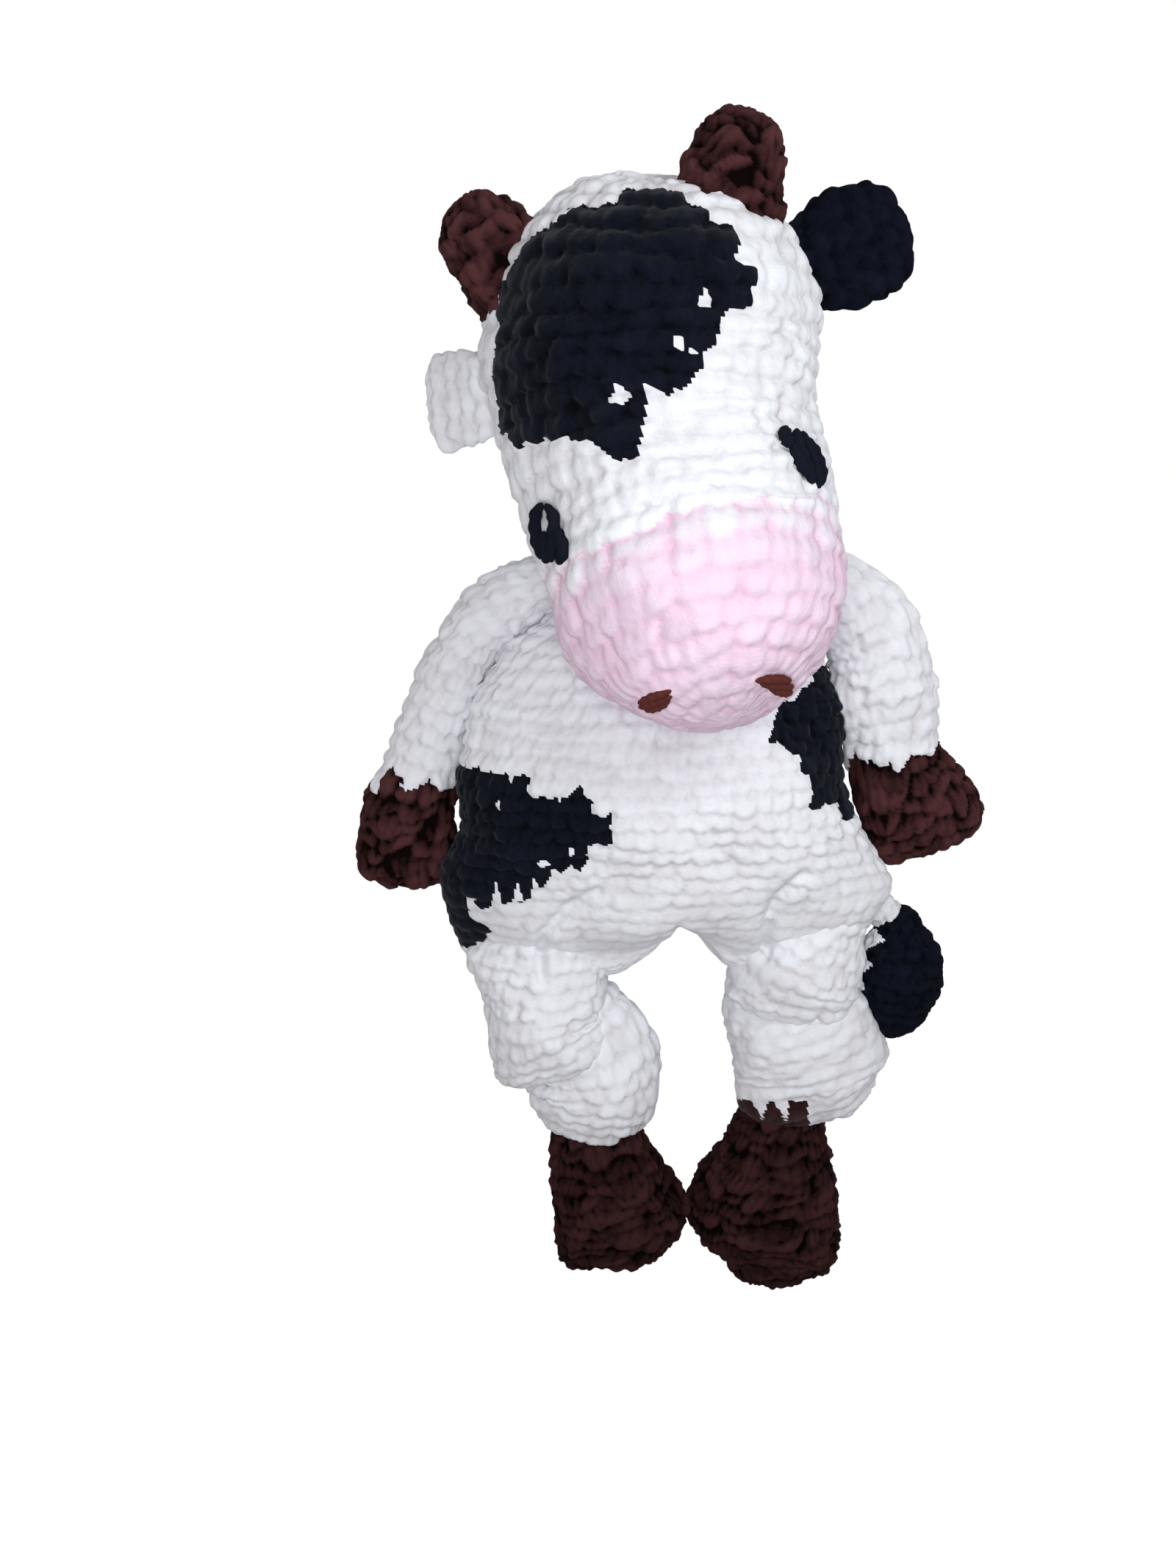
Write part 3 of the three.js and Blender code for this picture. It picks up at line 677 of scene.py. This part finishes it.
EYES = {
    "right": [
        [(742, 685), (735, 702), (735, 728), (742, 760)],
        [(748, 686), (758, 702), (759, 728), (756, 764)],
        [(745, 722), (747, 742), (749, 766)],
        [(757, 716), (768, 734), (771, 752), (765, 767)],
    ],
    "left": [
        [(1061, 583), (1064, 595), (1071, 611)],
        [(1079, 587), (1081, 606), (1090, 632), (1102, 660)],
        [(1086, 590), (1094, 612), (1103, 638), (1109, 666)],
        [(1092, 598), (1105, 622), (1112, 645), (1112, 662)],
        [(1073, 606), (1083, 627), (1095, 650)],
    ],
}
NOSTRILS = {
    "right": [
        [(871, 952), (890, 943), (914, 935)],
        [(872, 957), (893, 950), (915, 941)],
        [(880, 961), (898, 956), (912, 947)],
    ],
    "left": [
        [(1026, 922), (1048, 920), (1072, 922)],
        [(1032, 926), (1053, 928), (1075, 930)],
        [(1044, 931), (1060, 936), (1073, 938)],
    ],
}
for side in ("right", "left"):
    for part, traces, radius in (("eye", EYES, 2.7), ("nostril", NOSTRILS, 2.0)):
        paths = [on_surface(head, path, STRAND_RISE) for path in traces[side]]
        strands(f"{part}_stitches_{side}", paths, radius, part, "head", (f"{part}_{side}",))

# Body

BODY_RIGHT_PATCH = [
    (560, 1030), (620, 1036), (647, 1044), (683, 1054), (712, 1060), (723, 1079), (739, 1083), (744, 1070),
    (754, 1086), (770, 1087), (788, 1068), (797, 1088), (812, 1115), (824, 1108), (836, 1140), (808, 1152),
    (791, 1183), (776, 1174), (748, 1196), (718, 1218), (693, 1228), (657, 1234), (634, 1213), (640, 1250),
    (661, 1265), (651, 1293), (620, 1280), (560, 1200),
]
BODY_RIGHT_SPECKS = [
    [(667, 1236), (675, 1200), (684, 1230)],
    [(697, 1230), (704, 1198), (712, 1224)],
    [(722, 1220), (727, 1192), (735, 1212)],
    [(746, 1206), (752, 1178), (766, 1190)],
    [(674, 1094), (678, 1088), (681, 1100), (677, 1104)],
    [(730, 1176), (742, 1168), (749, 1176), (738, 1182)],
    [(772, 1156), (778, 1150), (782, 1160), (776, 1166)],
    [(686, 1040), (696, 1068), (706, 1040)],
    [(754, 1068), (762, 1094), (772, 1068)],
]
BODY_LEFT_PATCH = [
    (1125, 884), (1210, 900), (1210, 1098), (1149, 1109), (1126, 1090), (1112, 1104), (1099, 1079),
    (1109, 1060), (1091, 1037), (1068, 1018), (1045, 1002), (1059, 960), (1084, 945), (1099, 922),
    (1114, 914),
]
HIP_CREASES = [
    [(812, 1216), (769, 1239), (740, 1272), (733, 1300), (738, 1330)],
    [(926, 1273), (959, 1291), (985, 1334)],
    [(1096, 1192), (1058, 1225), (1044, 1258), (1041, 1300)],
]
BODY = [
    (0, 104, None, 42, 18.5), (1, 86, None, 56, 29), (0, 61, None, 81, 46), (-3.5, 36, None, 93.5, 60),
    (-4.5, 4, None, 99.5, 74.5), (-4, -20, None, 102, 79), (0, -40, None, 111, 75),
    (3.5, -60, None, 118.5, 70), (2, -80, None, 115, 62), (1, -98, None, 107, 47),
]
# The crotch: an arch in the body's lower end
ARCH = {"deep": 29, "middle": 12, "wide": 20, "from": -62, "over": 50}
BELLY_CALM = {"from": -25, "over": 40, "by": 0.6}  # where the relief begins to fall towards the crotch

body = Knit(BODY, (8, 18), pitch=10, row=8.9, lump=0.8, heading=(0, -1, 0))
x, y = body.points[..., 0], body.points[..., 1]  # views of the points, which the arch moves
arch = np.clip((ARCH["from"] - y) / ARCH["over"], 0, 1)
y += ARCH["deep"] * arch * arch * np.exp(-(((x - ARCH["middle"]) / ARCH["wide"]) ** 2))
falling = np.clip((BELLY_CALM["from"] - y) / BELLY_CALM["over"], 0, 1)
body.work(calm=1 - BELLY_CALM["by"] * falling, tall=3.8, brick=0.25)
body_tint = paint(
    body, "white",
    ("black", traced(BODY_RIGHT_PATCH, above=4)),
    ("black", traced(BODY_LEFT_PATCH, above=14)),
)
daub(body_tint, body, "white", BODY_RIGHT_SPECKS, above=20)
crease(body, HIP_CREASES)
piece("body", body, body_tint, "body", stands_for=("body_shell", "body_stuffing"))

# Arms with their hand hooves

ARM_RIGHT = [
    (-58, 95, None, 15, 34), (-83, 82, None, 17, 36), (-102, 60, None, 17, 38),
    (-113, 35, None, 18.5, 39), (-122, 8, None, 20.5, 38), (-128, -9, None, 22, 38),
    (-132, -24, None, 25, 40), (-135, -44, None, 27, 41), (-136, -54, None, 26, 40),
]
ARM_LEFT = [
    (62, 98, None, 15, 34), (84, 92, None, 20, 36), (106, 68, None, 25, 38), (114, 38, None, 28, 40),
    (119, 17, None, 26, 38), (121, 5, None, 24.5, 38), (128, -10, None, 28, 40), (138, -27, None, 33, 41),
    (142, -36, None, 33.5, 38),
]
# The brown yarn is worked more loosely than the white: the hand's stitches and the sleeve's, and those
# of the foot hooves and horns
HAND_AND_SLEEVE = {"wild": (1.8, 1.0), "groove": (0.2, 0.1), "sway": (0.16, 0.07)}
HOOF = {"tall": 4.2, "nub": 0.4, "wild": 1.9, "groove": 0.2, "puff": (0.7, 0.6), "step": 0.45, "sway": 0.16}


def mm(x, y, z):
    return (x * MM, y * MM, z * MM)


def arm(side, stations, wrist, way, blend_from, blend_to):
    """A sleeve and its hand hoof, worked in one: white up to the wrist, and brown beyond it. way points
    from the sleeve to the hand."""
    knit = Knit(stations, (14, 13), pitch=10.5, row=10, lump=0.5)

    def beyond(points):
        return (points[..., :2] - np.array(wrist, float)) @ unit(np.array(way, float)) > 0

    style = {key: np.where(beyond(knit.points), *both) for key, both in HAND_AND_SLEEVE.items()}
    knit.work(tall=3.8, **style)
    brown = beyond(knit.centres())
    tint = np.where(brown, "brown", "white").astype(object)
    sleeve, hand = f"arm_{side}", f"hand_{side}"
    piece(f"arm_sleeve_{side}", knit, tint, sleeve, keep=~brown, stands_for=(sleeve,),
          blend=(sleeve, hand, mm(*blend_from), mm(*blend_to)))
    piece(hand, knit, tint, hand, keep=brown, stands_for=(f"hand_hoof_{side}", f"hand_stuffing_{side}"),
          slot="brown")


arm("right", ARM_RIGHT, (-127, -6), (-0.14, -0.99), (-122, 10, 19), (-127, -3, 19))
arm("left", ARM_LEFT, (122, 8), (0.18, -0.98), (118, 24, 19), (121, 8, 19))

# Legs: a thigh that rolls over the shin, and a shin with its foot hoof

THIGH_RIGHT = [
    (-63, -104, None, 39, 56), (-63, -120, None, 34, 60), (-62, -140, None, 32, 62),
    (-55, -158, None, 37, 60),
]
SHIN_RIGHT = [
    (-48, -146, None, 32, 48), (-38, -160, None, 36, 53), (-34, -180, None, 38, 55),
    (-36, -196, None, 33, 52), (-38, -206, None, 28, 46),
]
FOOT_RIGHT = [
    (-36, -206, None, 24, 40), (-33, -222, None, 28, 48), (-25, -244, None, 34, 56),
    (-19, -264, None, 38, 58), (-20, -280, None, 36, 52),
]
THIGH_LEFT = [
    (84, -82, None, 29, 54), (79, -97, None, 33, 60), (73, -112, None, 35, 62), (71, -126, None, 35, 58),
]
SHIN_LEFT = [
    (69, -124, None, 34, 50), (76, -142, None, 39, 58), (82, -160, None, 42, 60), (86, -176, None, 41, 58),
    (92, -190, None, 33, 50),
]
FOOT_LEFT = [
    (74, -194, None, 20, 44), (70, -212, None, 28, 50), (66, -230, None, 35, 57), (63, -248, None, 41, 62),
    (62.5, -264, None, 43, 63), (68, -279, None, 39, 56), (73, -290, None, 32, 48),
]
LEFT_ANKLE_WEDGES = [
    [(1000, 1496), (1022, 1496), (1030, 1512), (1037, 1524), (1037, 1560), (1000, 1560)],
    [(1044, 1498), (1052, 1498), (1062, 1514), (1071, 1528), (1071, 1560), (1037, 1560), (1037, 1524)],
    [(1074, 1498), (1098, 1498), (1100, 1520), (1104, 1545), (1104, 1560), (1071, 1560), (1071, 1528)],
]
THIGH = {"pitch": 11, "row": 9, "tall": 3.4, "creases": HIP_CREASES}
LEFT_SHIN_STITCHES = {"tall": 3.8, "cleft": 0.0, "puff": (0.72, 0.62), "step": 0.3}
# The foot hooves are in the brown yarn with painted shade
FOOT = {"pitch": 9.5, "row": 8.6, "colour": "umber", "fill": 0.8, "power": 2.4, **HOOF}


def roll(name, stations, cap, body, nodes, pitch, row, colour="white", fill=0.5, blend=None, mark="white",
         marks=(), above=20.0, creases=(), lump=0.8, power=2.0, heading=None, **style):
    """A piece worked on its own in one colour, with the marks and creases of its camera side."""
    knit = Knit(stations, cap, pitch=pitch, row=row, lump=lump, power=power, heading=heading).work(**style)
    tint = np.full(knit.points.shape[:2], colour, dtype=object)
    daub(tint, knit, mark, marks, above)
    crease(knit, creases)
    piece(name, knit, tint, body, stands_for=nodes, slot=colour, blend=blend)


roll("thigh_roll_right", THIGH_RIGHT, (24, 15), "thigh_right", ("thigh_right",), **THIGH,
     blend=("body", "thigh_right", mm(-60, -96, 28), mm(-60, -122, 28)))
roll("shin_roll_right", SHIN_RIGHT, (18, 15), "shin_right", ("shin_right",), 11, 9, tall=3.4,
     blend=("thigh_right", "shin_right", mm(-48, -148, 27), mm(-43, -170, 27)))
roll("foot_right", FOOT_RIGHT, (12, 14), "foot_right", ("foot_hoof_right", "foot_stuffing_right"),
     heading=(0.22, -1, 0), **FOOT)
roll("thigh_roll_left", THIGH_LEFT, (22, 14), "thigh_left", ("thigh_left",), **THIGH,
     blend=("body", "thigh_left", mm(75, -94, 28), mm(74, -120, 28)))
# The brown wedges at the left ankle take the feet's painted shade
roll("shin_roll_left", SHIN_LEFT, (14, 16), "shin_left", ("shin_left",), 13, 8, **LEFT_SHIN_STITCHES,
     blend=("thigh_left", "shin_left", mm(73, -140, 27), mm(77, -162, 27)),
     mark="umber", marks=LEFT_ANKLE_WEDGES)
roll("foot_left", FOOT_LEFT, (12, 18), "foot_left", ("foot_hoof_left", "foot_stuffing_left"),
     heading=(0, -1, 0), **FOOT)

# Ears and horns

EAR_RIGHT = [(-78, 182, 63, 16, 13), (-92, 181, 54, 21, 14), (-104, 180, 46, 22, 14)]
EAR_LEFT = [(56, 236, 66, 18, 13), (70, 241, 66, 25, 14), (84, 246, 66, 25, 14)]
HORN_RIGHT = [(-62, 222, 78, 22, 42), (-73, 234, 80, 22, 40), (-82, 244, 82, 20, 36)]
HORN_LEFT = [(15, 246, 92, 23, 42), (19, 260, 93, 23, 41), (23, 272, 94, 20, 36)]
EAR = {"pitch": 10, "row": 9, "fill": 0.6, "lump": 0.6, "tall": 2.8}
HORN = {"pitch": 9.5, "row": 8.5, "colour": "brown", "fill": 0.6, "lump": 0.6, "power": 2.4, **HOOF}

roll("ear_oval_right", EAR_RIGHT, (8, 12), "ear_right", ("ear_right",), **EAR)
roll("ear_oval_left", EAR_LEFT, (8, 18), "ear_left", ("ear_left",), colour="black", **EAR)
roll("horn_cone_right", HORN_RIGHT, (10, 16), "head", ("horn_right", "horn_stuffing_right"), **HORN)
roll("horn_cone_left", HORN_LEFT, (10, 17), "head", ("horn_left", "horn_stuffing_left"), **HORN)

# Tail and tuft

TAIL = [(88, -61, None, 9.5, 19), (110, -76, None, 10, 20), (128, -88, None, 10, 20)]
TUFT = [
    (134, -90, None, 12, 24), (134, -104, None, 21, 38), (133, -122, None, 23.5, 42),
    (131, -136, None, 21, 38),
]
TUFT_WHITE = [
    (1120, 1240), (1180, 1252), (1204, 1279), (1170, 1295), (1188, 1313), (1168, 1328), (1178, 1344),
    (1163, 1354), (1120, 1360),
]
roll("tail", TAIL, (8, 6), "tail", ("tail_cord",), 9, 8.5, tall=2.8)
roll("tuft", TUFT, (8, 20), "tuft", ("tail_tuft",), 9.5, 8.5, colour="black", fill=0.7, lump=0.6, tall=3.2,
     marks=[TUFT_WHITE], above=0.0)

# The rings of whip stitches that sew the head and the arms on

THREAD = {"radius": 1.5, "in_and_out": 1.6, "up_and_down": 3.5}
LOOP_POINTS, LOOP_STEPS = 8, 14


def whipped(name, middle, radius, loops, body, stands_for, opening=(0, 360)):
    """Loops of thread along an arc from one angle of the opening to the other, in degrees."""
    points = loops * LOOP_POINTS + 1
    turns = np.radians(np.linspace(*opening, points))
    beat = np.linspace(0, loops * 2 * math.pi, points)
    reach = radius + THREAD["in_and_out"] * np.cos(beat)
    height = THREAD["up_and_down"] * np.sin(beat)
    path = np.array(middle) + np.stack([-reach * np.sin(turns), reach * np.cos(turns), height], -1)
    strands(name, [path], THREAD["radius"], "thread", body, stands_for, sides=7,
            steps=loops * LOOP_STEPS)


whipped("neck_stitches", (0, 112, 7.5), 6.0, 9, "neck", ("neck_seam",))
whipped("shoulder_stitches_right", (-74, 84, 14), 17.5, 9, "body", ("shoulder_seam_right",), (-90, 60))
whipped("shoulder_stitches_left", (78, 88, 14), 17.5, 7, "body", ("shoulder_seam_left",), (-40, 90))

# Floor, light and white surroundings

FLOOR_REACH = 4.0  # metres to each side


def white_to_camera(tree, shader, plain):
    """The camera sees plain white, and all else the shader: no more light falls on the toy for it."""
    ray = node(tree, "ShaderNodeLightPath")
    choose = node(tree, "ShaderNodeMixShader")
    plain.inputs["Color"].default_value = (1, 1, 1, 1)
    plain.inputs["Strength"].default_value = 1.0
    tree.links.new(ray.outputs["Is Camera Ray"], choose.inputs["Fac"])
    tree.links.new(shader.outputs[0], choose.inputs[1])
    tree.links.new(plain.outputs[0], choose.inputs[2])
    return choose.outputs["Shader"]


floor_mesh = bpy.data.meshes.new("floor")
corners = [(-1, -1), (1, -1), (1, 1), (-1, 1)]
floor_mesh.from_pydata([(x * FLOOR_REACH, y * FLOOR_REACH, 0) for x, y in corners], [], [(0, 1, 2, 3)])
paper = bpy.data.materials.new("white_floor")
paper.use_nodes = True
paper_tree = paper.node_tree
matt = paper_tree.nodes["Principled BSDF"]
matt.inputs["Base Color"].default_value = (0.9, 0.9, 0.9, 1)
matt.inputs["Roughness"].default_value = 1.0
floor_seen = white_to_camera(paper_tree, matt, node(paper_tree, "ShaderNodeEmission"))
paper_tree.links.new(floor_seen, paper_tree.nodes["Material Output"].inputs["Surface"])
floor_mesh.materials.append(paper)
floor = bpy.data.objects.new("floor", floor_mesh)
bpy.context.scene.collection.objects.link(floor)

world = bpy.data.worlds.new("surroundings")
world.use_nodes = True
world_tree = world.node_tree
room = world_tree.nodes["Background"]
room.inputs["Color"].default_value = (1.0, 0.965, 0.945, 1)
room.inputs["Strength"].default_value = 0.3
world_seen = white_to_camera(world_tree, room, node(world_tree, "ShaderNodeBackground"))
world_tree.links.new(world_seen, world_tree.nodes["World Output"].inputs["Surface"])
bpy.context.scene.world = world


def lamp(name, place, aim, power, size, colour):
    """A soft square lamp, placed in metres and turned to its aim."""
    data = bpy.data.lights.new(name, "AREA")
    data.energy = power
    data.size = size
    data.color = colour
    made = bpy.data.objects.new(name, data)
    made.location = place
    made.rotation_euler = (Vector(aim) - Vector(place)).to_track_quat("-Z", "Y").to_euler()
    bpy.context.scene.collection.objects.link(made)


lamp("window", (0.4, 0.5, 0.55), (0.0, 0.0, 0.06), power=1.9, size=0.3, colour=(0.95, 0.98, 1.0))
lamp("room", (-0.07, 0.1, 0.7), (-0.02, 0.0, 0.06), power=2.5, size=0.25, colour=(0.96, 0.98, 1.0))

bpy.context.scene.view_settings.view_transform = "Standard"
